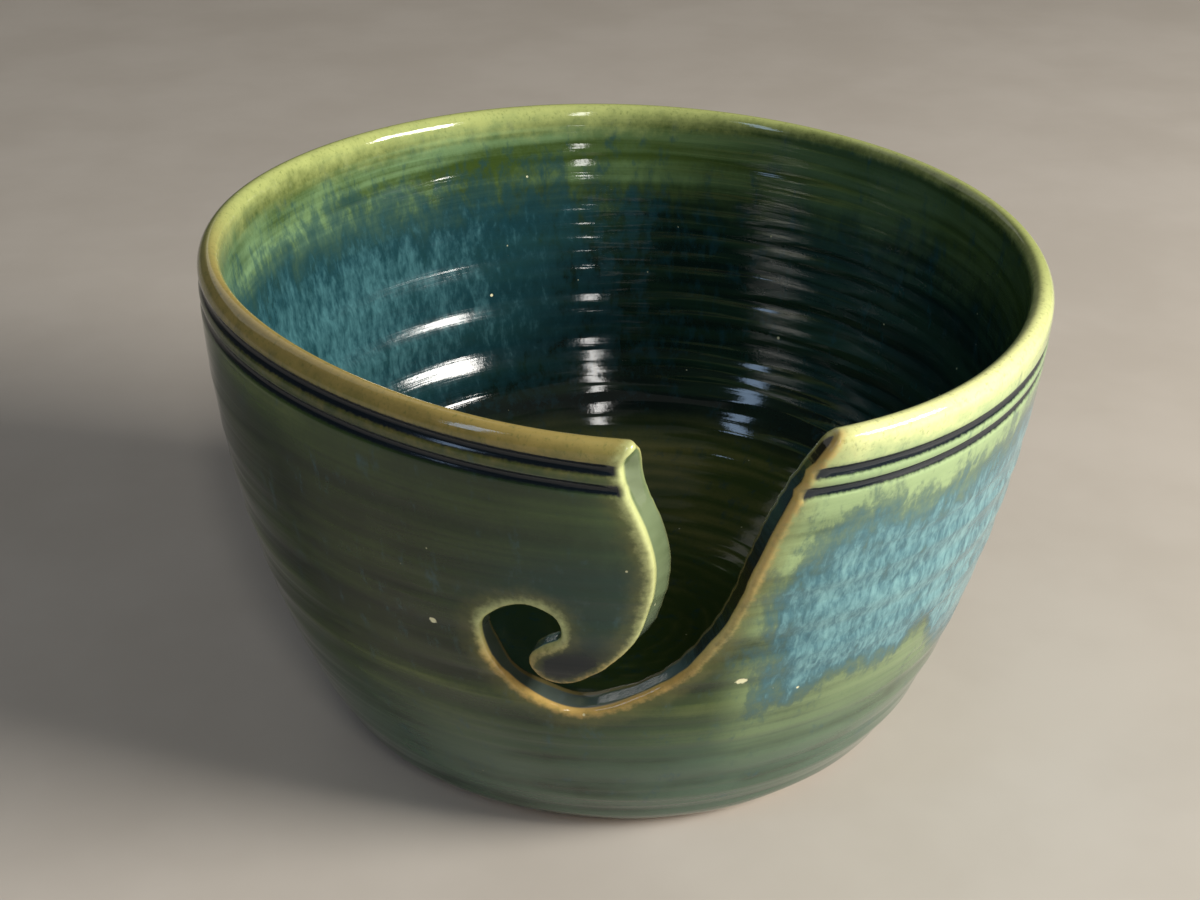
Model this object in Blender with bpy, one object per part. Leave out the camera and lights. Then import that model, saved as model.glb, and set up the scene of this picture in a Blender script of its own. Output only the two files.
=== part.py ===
"""A wheel-thrown yarn bowl: a clay body with a swirl cut through its wall, and the glaze fused over it.

Metres, +Z up. The origin is the centre of the foot, on the table, and the swirl faces -Y. Each section is turned
round +Z and then eased out of round, as a cut pot dries. Run with blender --background --python part.py.
"""

import math

import bmesh
import bpy

MM = 0.001

# Overall sizes of the glazed bowl
RIM_RADIUS = 78.0 * MM
HEIGHT = 91.0 * MM  # mean height of the lip
FOOT_RADIUS = 52.0 * MM
BELLY = 1.4  # how soon the wall turns upright
FULLNESS = 0.64  # how fast it swells above the foot

# Wall, floor and lip
LIP_THICKNESS = 4.2 * MM
LIP_RISE = 2.7 * MM  # height of the rounded lip over the wall
WALL_THICKNESS = 5.6 * MM
WALL_EASE = 14.0 * MM  # depth over which the wall thickens below the lip
FLOOR_THICKNESS = 8.0 * MM
FLOOR_FLAT_RADIUS = 24.0 * MM
FLOOR_SWEEP = 34.0 * MM  # height over which the floor turns up into the wall

# Two turned lines under the lip
LINE_DEPTHS = (5.6 * MM, 9.2 * MM)  # below the lip's crest
LINE_WIDTH = 1.8 * MM
LINE_CUT = 0.7 * MM

# Trimmed foot
FOOT_RING_WIDTH = 7.0 * MM
FOOT_RECESS = 1.8 * MM
FOOT_BEVEL = 0.6 * MM

# Glaze
GLAZE_THICKNESS = 0.7 * MM
GLAZE_GAP = 0.3 * MM  # between the glaze and the clay
GLAZE_LINE = 1.5 * MM  # where the glaze stops above the table

# Out of round: (share of the radius or the height, bearing in degrees where the wave peaks)
SWELLS = {1: (0.011, -45.0), 2: (0.049, -67.0), 3: (0.014, -71.0), 4: (0.008, -80.0)}  # by count of lobes
RIM_TILT = (0.009, 180.0)

# The swirl, as (along the rim, down from the crest) in millimetres, with 0 along at the middle of the front
SLOT_EDGE = [(29.2, 0.0), (25.4, 7.4), (22.6, 16.0), (19.9, 26.0), (17.2, 35.8), (10.6, 46.2), (1.6, 52.4)]
CURL_EDGE = [(-8.0, 55.8), (-15.6, 53.6), (-22.0, 48.6), (-25.0, 41.6), (-23.6, 36.6), (-17.0, 32.8), (-11.6, 35.0)]
TIP_EDGE = [(-11.0, 39.6), (-14.4, 42.0), (-16.8, 44.6), (-15.5, 47.9), (-11.3, 49.7)]
TONGUE_EDGE = [(-5.8, 47.2), (1.6, 40.3), (4.6, 31.8), (5.2, 24.0), (3.6, 16.4), (0.9, 9.0), (0.0, 3.6), (1.2, 0.0)]
SWIRL_STEPS = 2  # straight pieces between two of those points
SWIRL_REACH = 0.27  # how far the cut runs past the wall, as a share of the rim's radius
SWIRL_RINGS = 4  # rings of points through the thickness of the cut
SWIRL_CLEAR = 14.0  # how far its open end stands over the crest, in millimetres

SEGMENTS = 60
WALL_ROWS = 6
INNER_ROWS = 8
LIP_ROWS = 5

CLAY_COLOUR = (0.60, 0.48, 0.33, 1.0)
GLAZE_COLOUR = (0.075, 0.115, 0.055, 1.0)


def clear_scene():
    for thing in list(bpy.data.objects):
        bpy.data.objects.remove(thing)


def wall_top():
    return HEIGHT - LIP_RISE


def outer_radius(z):
    """The glazed outside, before the turned lines are cut."""
    share = min(max(z / wall_top(), 0.0), 1.0)
    return FOOT_RADIUS + (RIM_RADIUS - FOOT_RADIUS) * (1.0 - (1.0 - share) ** BELLY) ** FULLNESS


def wall_thickness(z):
    share = min((wall_top() - z) / WALL_EASE, 1.0)
    return LIP_THICKNESS + (WALL_THICKNESS - LIP_THICKNESS) * share


def inner_radius(z):
    """The glazed inside: a flat floor that sweeps up into the wall."""
    upright = outer_radius(z) - wall_thickness(z)
    share = min(max((z - FLOOR_THICKNESS) / FLOOR_SWEEP, 0.0), 1.0)
    return FLOOR_FLAT_RADIUS + (upright - FLOOR_FLAT_RADIUS) * math.sqrt(1.0 - (1.0 - share) ** 2)


def line_cut(z):
    """Depth of the turned lines at this height: a V for each."""
    cut = 0.0
    for depth in LINE_DEPTHS:
        off = abs(HEIGHT - depth - z) / (LINE_WIDTH / 2)
        cut = max(cut, LINE_CUT * (1.0 - off))
    return cut


def normal_of(radius, z, step=0.2 * MM):
    """Unit normal of a wall, pointing away from the axis."""
    slope = (radius(z + step) - radius(z - step)) / (2 * step)
    length = math.hypot(1.0, slope)
    return 1.0 / length, -slope / length


def outer_rows():
    """Heights of the rows of points up the outside: even steps, then the turned lines."""
    lowest_line = HEIGHT - max(LINE_DEPTHS) - LINE_WIDTH
    span = lowest_line - GLAZE_LINE
    rows = [GLAZE_LINE + span * (i / WALL_ROWS) ** 1.25 for i in range(WALL_ROWS + 1)]
    for depth in sorted(LINE_DEPTHS, reverse=True):
        centre = HEIGHT - depth
        rows += [centre - LINE_WIDTH / 2, centre, centre + LINE_WIDTH / 2]
    return rows


def section(inset):
    """(radius, height) points from the glaze line up the outside, over the lip and down to the floor's middle.

    inset moves every point into the wall, square to the surface.
    """
    points = []
    for z in outer_rows():
        across, up = normal_of(outer_radius, z)
        points.append((outer_radius(z) - line_cut(z) - inset * across, z - inset * up))
    lip_radius = LIP_THICKNESS / 2
    for i in range(LIP_ROWS + 1):
        turn = math.pi * i / LIP_ROWS
        r = RIM_RADIUS - lip_radius + (lip_radius - inset) * math.cos(turn)
        points.append((r, wall_top() + (LIP_RISE - inset) * math.sin(turn)))
    for i in range(1, INNER_ROWS):
        share = 1.0 - math.sin(0.5 * math.pi * i / INNER_ROWS)
        z = FLOOR_THICKNESS + (wall_top() - FLOOR_THICKNESS) * share
        across, up = normal_of(inner_radius, z)
        points.append((inner_radius(z) + inset * across, z + inset * up))
    points.append((FLOOR_FLAT_RADIUS, FLOOR_THICKNESS - inset))
    points.append((0.0, FLOOR_THICKNESS - inset))
    return points


def wave(lobes, size, peak, bearing):
    return size * math.cos(lobes * (bearing - math.radians(peak)))


def eased(radius, bearing, z):
    """A point of the round pot moved to where it dried: true at the foot, most out of round at the lip."""
    growth = (z / HEIGHT) ** 3
    swell = growth * sum(wave(lobes, *SWELLS[lobes], bearing) for lobes in SWELLS)
    lift = growth * HEIGHT * wave(1, *RIM_TILT, bearing)
    r = radius * (1.0 + swell)
    return r * math.cos(bearing), r * math.sin(bearing), z + lift


def finish_mesh(name, bm):
    bmesh.ops.recalc_face_normals(bm, faces=bm.faces)
    mesh = bpy.data.meshes.new(name)
    bm.to_mesh(mesh)
    bm.free()
    thing = bpy.data.objects.new(name, mesh)
    bpy.context.scene.collection.objects.link(thing)
    return thing


def skin_between(bm, lower, upper):
    """Triangles between two rings of points, all with their diagonals the same way so that nested skins match."""
    count = max(len(lower), len(upper))
    for i in range(count):
        j = (i + 1) % count
        if len(lower) > 1:
            bm.faces.new([lower[i], lower[j], upper[i % len(upper)]])
        if len(upper) > 1:
            bm.faces.new([lower[j % len(lower)], upper[j], upper[i]])


def turned(name, points):
    """A solid turned round +Z from a section whose two ends lie on the axis."""
    bm = bmesh.new()
    rings = []
    for radius, z in points:
        if radius == 0.0:
            rings.append([bm.verts.new((0.0, 0.0, z))])
            continue
        bearings = (2 * math.pi * i / SEGMENTS for i in range(SEGMENTS))
        rings.append([bm.verts.new(eased(radius, bearing, z)) for bearing in bearings])
    for lower, upper in zip(rings, rings[1:]):
        skin_between(bm, lower, upper)
    return finish_mesh(name, bm)


def smooth_through(points):
    """Points of a smooth curve through these points (Catmull-Rom)."""
    result = []
    last = len(points) - 1
    for i in range(last):
        a, b, c, d = (points[min(max(k, 0), last)] for k in (i - 1, i, i + 1, i + 2))
        for k in range(SWIRL_STEPS):
            t = k / SWIRL_STEPS
            weights = (
                (-t + 2 * t**2 - t**3) / 2,
                (2 - 5 * t**2 + 3 * t**3) / 2,
                (t + 4 * t**2 - 3 * t**3) / 2,
                (-(t**2) + t**3) / 2,
            )
            result.append(tuple(sum(w * p[n] for w, p in zip(weights, (a, b, c, d))) for n in (0, 1)))
    result.append(points[-1])
    return result


def swirl_outline(grow):
    """The cut's outline, (along, down) in millimetres, with its edge moved out by grow."""
    edge = smooth_through(SLOT_EDGE + CURL_EDGE + TIP_EDGE + TONGUE_EDGE)
    first, last = edge[0], edge[-1]
    lean = (first[0] - edge[1][0]) / (edge[1][1] - first[1])
    edge = [(first[0] + lean * SWIRL_CLEAR, -SWIRL_CLEAR), *edge, (last[0], -SWIRL_CLEAR)]
    moved = []
    for i, (along, down) in enumerate(edge):
        before = edge[max(i - 1, 0)]
        after = edge[min(i + 1, len(edge) - 1)]
        run, drop = after[0] - before[0], after[1] - before[1]
        length = math.hypot(run, drop)
        moved.append((along + grow * drop / length, down - grow * run / length))
    return moved


def swirl_cutter(name, grow):
    """A wedge with the swirl's outline, cut square through the wall towards the axis."""
    bm = bmesh.new()
    loops = []
    for k in range(SWIRL_RINGS + 1):
        radius = RIM_RADIUS * (1.0 + SWIRL_REACH * (2.0 * k / SWIRL_RINGS - 1.0))
        loop = []
        for along, down in swirl_outline(grow / MM):
            bearing = along * MM / RIM_RADIUS - math.pi / 2
            loop.append(bm.verts.new(eased(radius, bearing, HEIGHT - down * MM)))
        loops.append(loop)
    ends = [bm.faces.new(loops[0]), bm.faces.new(loops[-1][::-1])]
    bmesh.ops.triangulate(bm, faces=ends)
    for near, far in zip(loops, loops[1:]):
        skin_between(bm, near, far)
    return as_helper(finish_mesh(name, bm))


def as_helper(thing):
    thing.hide_render = True
    thing.display_type = "WIRE"
    return thing


def cut_away(thing, cutter):
    cut = thing.modifiers.new("cut by " + cutter.name, "BOOLEAN")
    cut.operation = "DIFFERENCE"
    cut.solver = "EXACT"
    cut.object = cutter


def give_material(thing, name, colour, roughness):
    material = bpy.data.materials.new(name)
    material.use_nodes = True
    shader = material.node_tree.nodes["Principled BSDF"]
    shader.inputs["Base Color"].default_value = colour
    shader.inputs["Roughness"].default_value = roughness
    shader.inputs["Metallic"].default_value = 0.0
    thing.data.materials.append(material)


def make_clay_body():
    inset = GLAZE_THICKNESS + GLAZE_GAP
    wall = section(inset)
    foot = wall[0][0]
    ring_inside = foot - FOOT_RING_WIDTH
    under = [
        (0.0, FOOT_RECESS),
        (ring_inside - FOOT_RECESS, FOOT_RECESS),
        (ring_inside, 0.0),
        (foot - FOOT_BEVEL, 0.0),
        (foot, FOOT_BEVEL),
    ]
    body = turned("clay_body", under + wall)
    cut_away(body, swirl_cutter("swirl in the clay", inset))
    give_material(body, "stoneware clay", CLAY_COLOUR, 0.85)


def make_glaze_coat():
    """The glazed shape cut through by the swirl, less everything deeper than the glaze."""
    shape = section(0.0)
    coat = turned("glaze_coat", [(0.0, GLAZE_LINE)] + shape)
    cut_away(coat, swirl_cutter("swirl in the glaze", 0.0))
    inside = section(GLAZE_THICKNESS)
    below = -FOOT_RADIUS / 4
    core = as_helper(turned("under the glaze", [(0.0, below), (inside[0][0], below)] + inside))
    cut_away(core, swirl_cutter("swirl under the glaze", GLAZE_THICKNESS))
    cut_away(coat, core)
    give_material(coat, "green glaze", GLAZE_COLOUR, 0.12)


clear_scene()
make_clay_body()
make_glaze_coat()
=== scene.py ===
"""Looks of the yarn bowl: a thrown stoneware pot with a swirl cut through its wall, under a broken green glaze.

The glaze skin and the clay body are each one closed mesh. Both are laid out on the unrolled wall, as
(along, climb): along runs round the rim from the middle of the front, and climb runs up the outside, over the lip,
down the inside and across the floor. Lengths are in millimetres until a mesh is made.
"""

import math

import bmesh
import bpy
import numpy as np
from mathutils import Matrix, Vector, geometry


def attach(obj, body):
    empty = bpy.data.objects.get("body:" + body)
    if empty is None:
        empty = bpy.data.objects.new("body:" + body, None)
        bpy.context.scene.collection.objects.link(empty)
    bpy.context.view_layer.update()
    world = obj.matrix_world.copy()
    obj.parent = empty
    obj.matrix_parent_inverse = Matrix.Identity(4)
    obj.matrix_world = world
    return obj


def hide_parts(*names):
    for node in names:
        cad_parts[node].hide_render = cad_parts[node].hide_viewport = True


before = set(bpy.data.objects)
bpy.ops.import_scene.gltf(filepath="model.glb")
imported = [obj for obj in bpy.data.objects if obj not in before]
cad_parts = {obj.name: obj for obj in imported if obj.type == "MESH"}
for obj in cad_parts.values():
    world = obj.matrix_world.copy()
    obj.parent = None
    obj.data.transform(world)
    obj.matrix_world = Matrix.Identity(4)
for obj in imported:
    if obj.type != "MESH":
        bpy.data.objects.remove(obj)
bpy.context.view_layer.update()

MM = 0.001

# Sizes shared with the solid model
RIM_RADIUS = 78.0
HEIGHT = 91.0
FOOT_RADIUS = 52.0
BELLY = 1.4
FULLNESS = 0.64
LIP_THICKNESS = 4.2
LIP_RISE = 2.7
WALL_THICKNESS = 5.6
WALL_EASE = 14.0
FLOOR_THICKNESS = 8.0
FLOOR_FLAT_RADIUS = 24.0
FLOOR_SWEEP = 34.0
GLAZE_LINE = 1.5
FOOT_RING_WIDTH = 7.0
FOOT_RECESS = 1.8
FOOT_BEVEL = 0.9
SWELLS = {1: (0.011, -45.0), 2: (0.049, -67.0), 3: (0.014, -71.0), 4: (0.008, -80.0)}
RIM_TILT = (0.009, 180.0)
SLOT_EDGE = [(29.2, 0.0), (25.4, 7.4), (22.6, 16.0), (19.9, 26.0), (17.2, 35.8), (10.6, 46.2), (1.6, 52.4)]
CURL_EDGE = [(-8.0, 55.8), (-15.6, 53.6), (-22.0, 48.6), (-25.0, 41.6), (-23.6, 36.6), (-17.0, 32.8), (-11.6, 35.0)]
TIP_EDGE = [(-11.0, 39.6), (-14.4, 42.0), (-16.8, 44.6), (-15.5, 47.9), (-11.3, 49.7)]
TONGUE_EDGE = [(-5.8, 47.2), (1.6, 40.3), (4.6, 31.8), (5.2, 24.0), (3.6, 16.4), (0.9, 9.0), (0.0, 3.6), (1.2, 0.0)]

# The skin of glaze over the clay
GLAZE_THICKNESS = 0.6
CLAY_INSET = 0.75
EDGE_ROUND = 1.05  # radius of the softened edges of the cut
UNDERCUT = 2.8  # how far the knife leaned under the tongue
GLAZE_ROLL = 0.6  # height of the rolled end above the foot
RING_HEIGHT = 0.22  # throwing rings
FOOT_OF_WALL = 28.0  # height inside where the fingers left a ridge
LINE_CUT = 0.75  # depth of the two turned lines
TURNED_LINES = ((5.6, 1.3, 1.0), (9.2, 1.15, 0.9))  # below the lip, half width, share of the depth
LINE_SLANT = 1.75  # how far the lines run off level, each way
LINE_LEVEL = math.radians(-80.5)  # the bearing where they are level

# Edges of the poured blue wash outside, as (along, down)
WASH_LOW = [(20.0, 57.0), (28.5, 56.5), (35.6, 53.5), (42.3, 50.5), (57.3, 53.5), (83.0, 61.0), (110.0, 65.0),
            (140.0, 62.0), (170.0, 59.0), (200.0, 52.0)]
WASH_HIGH = [(20.0, 27.0), (28.6, 21.0), (34.9, 15.5), (53.3, 18.0), (83.0, 15.0), (120.0, 14.0), (150.0, 18.0),
             (200.0, 27.0)]

# Small bare spots in the glaze outside: (along, down, half width, half height)
BARE_SPOTS = [(20.9, 49.6, 1.15, 0.75), (-34.0, 39.9, 0.7, 0.6), (34.7, 13.2, 0.8, 0.4), (26.8, 14.9, 0.6, 0.35)]

# What each point of a skin knows, for the materials: how far it is from the crest, 1 inside the pot, how far it is
# from the cut (less than 0 across the cut's face), how deep in a turned line, how high on a ring, how much blue wash,
# pooled glaze and blue-green it has, where the glaze breaks ochre (warm), and where right of the slot it is pale
# yellow-green, partly its own colour and partly a painted highlight on the side facing the key light (pale_and_sheen)
FACTS = ("below_lip", "inside", "from_cut", "line", "ridge", "wash", "pool", "cool", "warm", "pale_and_sheen")

# Mesh spacing
COLUMNS = 288
FINE_STEP = 1.0
HIDDEN_STEP = 3.0
CUT_STEP = 0.95
FAR_AWAY = 60.0  # the distance given to points too far from the cut to matter
WINDOW_HALF = 34.5  # the part of the wall meshed round the cut: half its width
WINDOW_DOWN = 60.5  # and its depth below the crest
TONGUE_LENGTH = 50.0  # of the cut's edge, from the tip up to the crest

WALL_TOP = HEIGHT - LIP_RISE
TURN = 2 * math.pi * RIM_RADIUS


def smooth_step(low, high, value):
    share = np.clip((value - low) / (high - low), 0.0, 1.0)
    return share * share * (3.0 - 2.0 * share)


# ---- the section of the wall ----

def outer_radius(z):
    share = np.clip(z / WALL_TOP, 0.0, 1.0)
    return FOOT_RADIUS + (RIM_RADIUS - FOOT_RADIUS) * (1.0 - (1.0 - share) ** BELLY) ** FULLNESS


def inner_radius(z):
    thick = LIP_THICKNESS + (WALL_THICKNESS - LIP_THICKNESS) * np.minimum((WALL_TOP - z) / WALL_EASE, 1.0)
    share = np.clip((z - FLOOR_THICKNESS) / FLOOR_SWEEP, 0.0, 1.0)
    upright = outer_radius(z) - thick
    return FLOOR_FLAT_RADIUS + (upright - FLOOR_FLAT_RADIUS) * np.sqrt(1.0 - (1.0 - share) ** 2)


class Section:
    """The glazed section as a dense line, read by its length (climb) from the glaze line."""

    def __init__(self):
        up = np.linspace(GLAZE_LINE, WALL_TOP, 400)
        turn = np.linspace(0.0, math.pi, 120)[1:]
        sweep = np.sin(np.linspace(0.0, math.pi / 2, 500))[1:]
        down = WALL_TOP + (FLOOR_THICKNESS - WALL_TOP) * sweep
        lip = LIP_THICKNESS / 2
        flat = np.linspace(FLOOR_FLAT_RADIUS, 0.0, 60)[1:]
        r = np.concatenate([outer_radius(up), RIM_RADIUS - lip + lip * np.cos(turn), inner_radius(down), flat])
        z = np.concatenate([up, WALL_TOP + LIP_RISE * np.sin(turn), down, np.full(len(flat), FLOOR_THICKNESS)])
        self.r, self.z = r, z
        self.climb = np.concatenate([[0.0], np.cumsum(np.hypot(np.diff(r), np.diff(z)))])
        crest = int(np.argmax(z))
        self.crest = self.climb[crest]
        self.end = self.climb[-1]
        self.floor_edge = self.climb[len(r) - len(flat) - 1]
        dr, dz = np.gradient(r, self.climb), np.gradient(z, self.climb)
        length = np.hypot(dr, dz)
        self.normal_r, self.normal_z = dz / length, -dr / length
        self._outer = (z[: crest + 1], self.climb[: crest + 1])
        self._inner = (z[crest:][::-1], self.climb[crest:][::-1])

    def at(self, climb):
        """Radius, height and outward normal (radial, upward) at each climb."""
        return [np.interp(climb, self.climb, v) for v in (self.r, self.z, self.normal_r, self.normal_z)]

    def outside(self, z):
        return np.interp(z, *self._outer)

    def inside(self, z):
        return np.interp(z, *self._inner)


wall = Section()


# ---- relief left by the potter's hands ----

def ripple(bearing, height, pitch, lean, seed, steady=0.6):
    """Soft rings about pitch apart that climb by lean rings each turn, from -1 to 1. steady is 1 for even ones."""
    flat = height / pitch + lean * bearing / (2 * math.pi)
    drift = 0.55 * np.sin(2 * math.pi * height / (pitch * 3.7) + seed + 0.6 * np.sin(bearing + seed))
    slow = 2 * math.pi * height / (pitch * 5.3) + 2.1 * seed + 0.8 * np.sin(2 * bearing)
    swell = steady + (1.0 - steady) * np.sin(slow)
    return swell * np.sin(2 * math.pi * flat + drift)


def line_share(bearing, climb):
    """How deep the two turned lines are here, from 0 to 1. They run lower to the right of the slot."""
    turn = bearing - LINE_LEVEL
    turn = np.arctan2(np.sin(turn), np.cos(turn))
    rise = LINE_SLANT * np.tanh(turn / math.radians(15.0)) * np.cos(turn / 2)
    below = HEIGHT - wall.at(climb)[1]
    share = np.zeros_like(climb)
    for depth, half, strength in TURNED_LINES:
        off = np.clip(np.abs(below - depth - rise) / half, 0.0, 1.0)
        share = np.maximum(share, strength * (1.0 - off**2) ** 1.5)
    return np.where(climb < wall.crest, share, 0.0)


def ridges(bearing, climb):
    """The throwing rings, from about -1 in a hollow to 1 on a ridge, outside and inside."""
    z = wall.at(climb)[1]
    outside = 0.75 * ripple(bearing, z, 8.2, 1.0, 0.4) + 0.35 * ripple(bearing, z, 3.1, 2.0, 1.7)
    # Inside on the left the rings are broad and smooth, and elsewhere they are fine
    smoother = smooth_step(252.0, 285.0, (bearing + math.pi / 2) * RIM_RADIUS % TURN)
    mid_wall = smooth_step(24.0, 34.0, z) * smooth_step(72.0, 56.0, z)
    broad = -1.4 * np.sin(2 * math.pi * (z - 49.0) / 10.0) * mid_wall
    fine = ripple(bearing, climb + 0.35 * np.sin(11.0 * bearing + climb / 2.2), 3.3, -2.0, 0.9, 0.8)
    broad = broad * (0.3 + 0.7 * smoother) + 0.35 * ripple(bearing, climb, 7.6, -1.0, 2.6)
    inside = broad + (0.85 - 0.78 * smoother) * fine
    return np.where(climb < wall.crest, outside, inside)


def relief(bearing, climb):
    """Height of the glaze over the plain section, in millimetres."""
    fade_out = np.clip((wall.crest - 14.0 - climb) / 6.0, 0.0, 1.0) * np.clip(climb / 5.0, 0.0, 1.0)
    fade_in = np.clip((climb - wall.crest - 5.0) / 6.0, 0.0, 1.0) * np.clip((wall.end - climb) / 9.0, 0.0, 1.0)
    fade = np.where(climb < wall.crest, fade_out, fade_in)
    foot_of_wall = np.exp(-(((climb - wall.inside(FOOT_OF_WALL)) / 2.6) ** 2)) * (climb > wall.crest)
    rolled_end = np.clip(1.0 - climb / GLAZE_ROLL, 0.0, 1.0)
    drop = GLAZE_THICKNESS * (1.0 - np.sqrt(1.0 - rolled_end**2))
    rings = RING_HEIGHT * fade * ridges(bearing, climb)
    return rings + 0.35 * foot_of_wall - LINE_CUT * line_share(bearing, climb) - drop


def foot_wobble(bearing):
    """The glaze ends unevenly above the foot, where it was sponged off."""
    return 0.28 * np.sin(3 * bearing + 0.7) + 0.22 * np.sin(7 * bearing + 2.0) + 0.12 * np.sin(17 * bearing)


def wave(lobes, size, peak, bearing):
    return size * np.cos(lobes * (bearing - math.radians(peak)))


def eased(radius, bearing, z):
    """A point of the round pot moved to where it dried, out of round towards the lip."""
    growth = (z / HEIGHT) ** 3
    r = radius * (1.0 + growth * sum(wave(lobes, *SWELLS[lobes], bearing) for lobes in SWELLS))
    lift = growth * HEIGHT * wave(1, *RIM_TILT, bearing)
    return np.stack([r * np.cos(bearing), r * np.sin(bearing), z + lift], axis=-1)


def place(points, depth, fine):
    """Where (along, climb) points lie on the pot, let into the wall by depth. Only the fine surface has relief."""
    bearing = points[:, 0] / RIM_RADIUS - math.pi / 2
    near_foot = np.clip(1.0 - points[:, 1] / 4.0, 0.0, 1.0)
    climb = points[:, 1]
    r, z, normal_r, normal_z = wall.at(climb)
    z = z + near_foot * (0.5 + foot_wobble(bearing))
    if fine:
        over = relief(bearing, climb) - depth
    else:
        under_lines = np.clip((12.0 - np.abs(wall.crest - 10.0 - climb)) / 4.0, 0.0, 1.0)
        over = -depth - LINE_CUT * under_lines
    return eased(r + over * normal_r, bearing, z + over * normal_z)


# ---- the swirl, on the unrolled wall ----

def smooth_through(points, steps):
    """A dense smooth line through these points (Catmull-Rom)."""
    p = np.array(points)
    p = np.vstack([p[:1], p, p[-1:]])
    t = np.linspace(0.0, 1.0, steps, endpoint=False)[:, None]
    runs = []
    for a, b, c, d in zip(p, p[1:], p[2:], p[3:]):
        runs.append(((-t + 2 * t**2 - t**3) * a + (2 - 5 * t**2 + 3 * t**3) * b
                     + (t + 4 * t**2 - 3 * t**3) * c + (-(t**2) + t**3) * d) / 2)
    return np.vstack([*runs, p[-1:]])


def swirl_loop():
    """The cut's edge as a closed loop of (along, climb) stations, and how many lie on the outside.

    Station 0 is the right-hand crest. The loop goes down and round the curl on the outside, up to the left-hand
    crest, and back the same way on the inside, so station i and station -i face each other through the wall.
    """
    edge = smooth_through(SLOT_EDGE + CURL_EDGE + TIP_EDGE + TONGUE_EDGE, 60)
    z = HEIGHT - edge[:, 1]
    z[0] = z[-1] = HEIGHT
    climb = wall.outside(z)
    length = np.concatenate([[0.0], np.cumsum(np.hypot(np.diff(edge[:, 0]), np.diff(climb)))])
    count = int(length[-1] / CUT_STEP)
    even = np.linspace(0.0, length[-1], count + 1)
    along = np.interp(even, length, edge[:, 0])
    climb = np.interp(even, length, climb)
    down_z = np.interp(climb, wall.climb[: np.argmax(wall.z) + 1], wall.z[: np.argmax(wall.z) + 1])
    down = HEIGHT - down_z
    on_tongue = np.arange(count + 1) > count - TONGUE_LENGTH / CUT_STEP
    under = np.where(on_tongue, UNDERCUT * smooth_step(-1.5, 4.0, down) * smooth_step(47.0, 36.0, down), 0.0)
    out = np.stack([along - 0.25 * under * smooth_step(0.0, 3.0, down), climb], axis=1)
    back = np.stack([along + 0.75 * under * smooth_step(0.0, 1.6, down), wall.inside(down_z)], axis=1)
    return np.vstack([out, back[1:-1][::-1]]), count


def loop_normals(loop):
    """Unit normals of the closed loop, pointing away from the cut into the clay."""
    run = np.roll(loop, -1, axis=0) - np.roll(loop, 1, axis=0)
    run /= np.linalg.norm(run, axis=1)[:, None]
    return np.stack([-run[:, 1], run[:, 0]], axis=1)


def distance_to(points, loop):
    """Distance of each point from the closed loop."""
    best = np.full(len(points), 1e9)
    for a, b in zip(loop, np.roll(loop, -1, axis=0)):
        d = b - a
        t = np.clip(((points - a) @ d) / (d @ d), 0.0, 1.0)
        best = np.minimum(best, np.linalg.norm(points - a - t[:, None] * d, axis=1))
    return best


def within(points, loop):
    """Which points lie inside the closed loop."""
    inside = np.zeros(len(points), bool)
    x, y = points[:, 0], points[:, 1]
    for a, b in zip(loop, np.roll(loop, -1, axis=0)):
        crosses = (a[1] > y) != (b[1] > y)
        rise = b[1] - a[1] if b[1] != a[1] else 1e-12
        inside ^= crosses & (x < (b[0] - a[0]) * (y - a[1]) / rise + a[0])
    return inside


swirl, SWIRL_HALF = swirl_loop()
swirl_out = loop_normals(swirl)
if within(swirl[:1] + 0.5 * swirl_out[:1], swirl)[0]:
    swirl_out = -swirl_out


def rows_for(step, fine):
    """Climbs of the rows of points, closer together on the turned lines and over the lip, to the middle."""
    rows = [0.0, 0.15, 0.35, 0.6, 1.0] if fine else [0.0]
    while rows[-1] < wall.floor_edge - step / 2:
        off = rows[-1] - wall.crest
        if abs(off) < 5.0:
            here = min(step, 0.55 if fine else 1.1)
        elif fine and -15.0 < off < 0.0:
            here = 0.5
        else:
            here = step
        rows.append(rows[-1] + here)
    rows[-1] = wall.floor_edge
    flat = wall.end - wall.floor_edge
    count = int(flat / (1.5 * step))
    return np.array(rows + [wall.floor_edge + flat * k / count for k in range(1, count + 1)])


# ---- skins: meshes laid out on the unrolled wall ----

def wrapped(along):
    return (along + TURN / 2) % TURN - TURN / 2


def blue_wash(along, down, inside):
    """Where the second, rutile glaze was poured: down the right outside, inside the left, and a little at the back."""
    low = np.interp(along, *zip(*WASH_LOW))
    drips = 3.2 * np.sin(along / 6.1 + 0.7) + 2.2 * np.sin(along / 2.9 + 2.0) + 1.6 * np.sin(along / 11.7)
    low = low + drips * smooth_step(44.0, 66.0, along)
    high = np.interp(along, *zip(*WASH_HIGH))
    outside_share = (
        smooth_step(17.0, 33.0, along) * smooth_step(-206.0, -166.0, -along)
        * smooth_step(-7.0, 11.0, down - high) * smooth_step(-7.0, 4.0, low - down)
    )
    turn = along % TURN
    inside_share = smooth_step(200.0, 330.0, turn) * smooth_step(415.0, 365.0, turn)
    inside_share = inside_share * smooth_step(2.0, 30.0, down) * smooth_step(68.0, 46.0, down)
    back_share = smooth_step(252.0, 290.0, turn) * smooth_step(342.0, 305.0, turn)
    back_share = back_share * smooth_step(14.0, 36.0, down) * smooth_step(64.0, 46.0, down)
    return np.where(inside, inside_share, np.maximum(outside_share, 0.8 * back_share))


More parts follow.
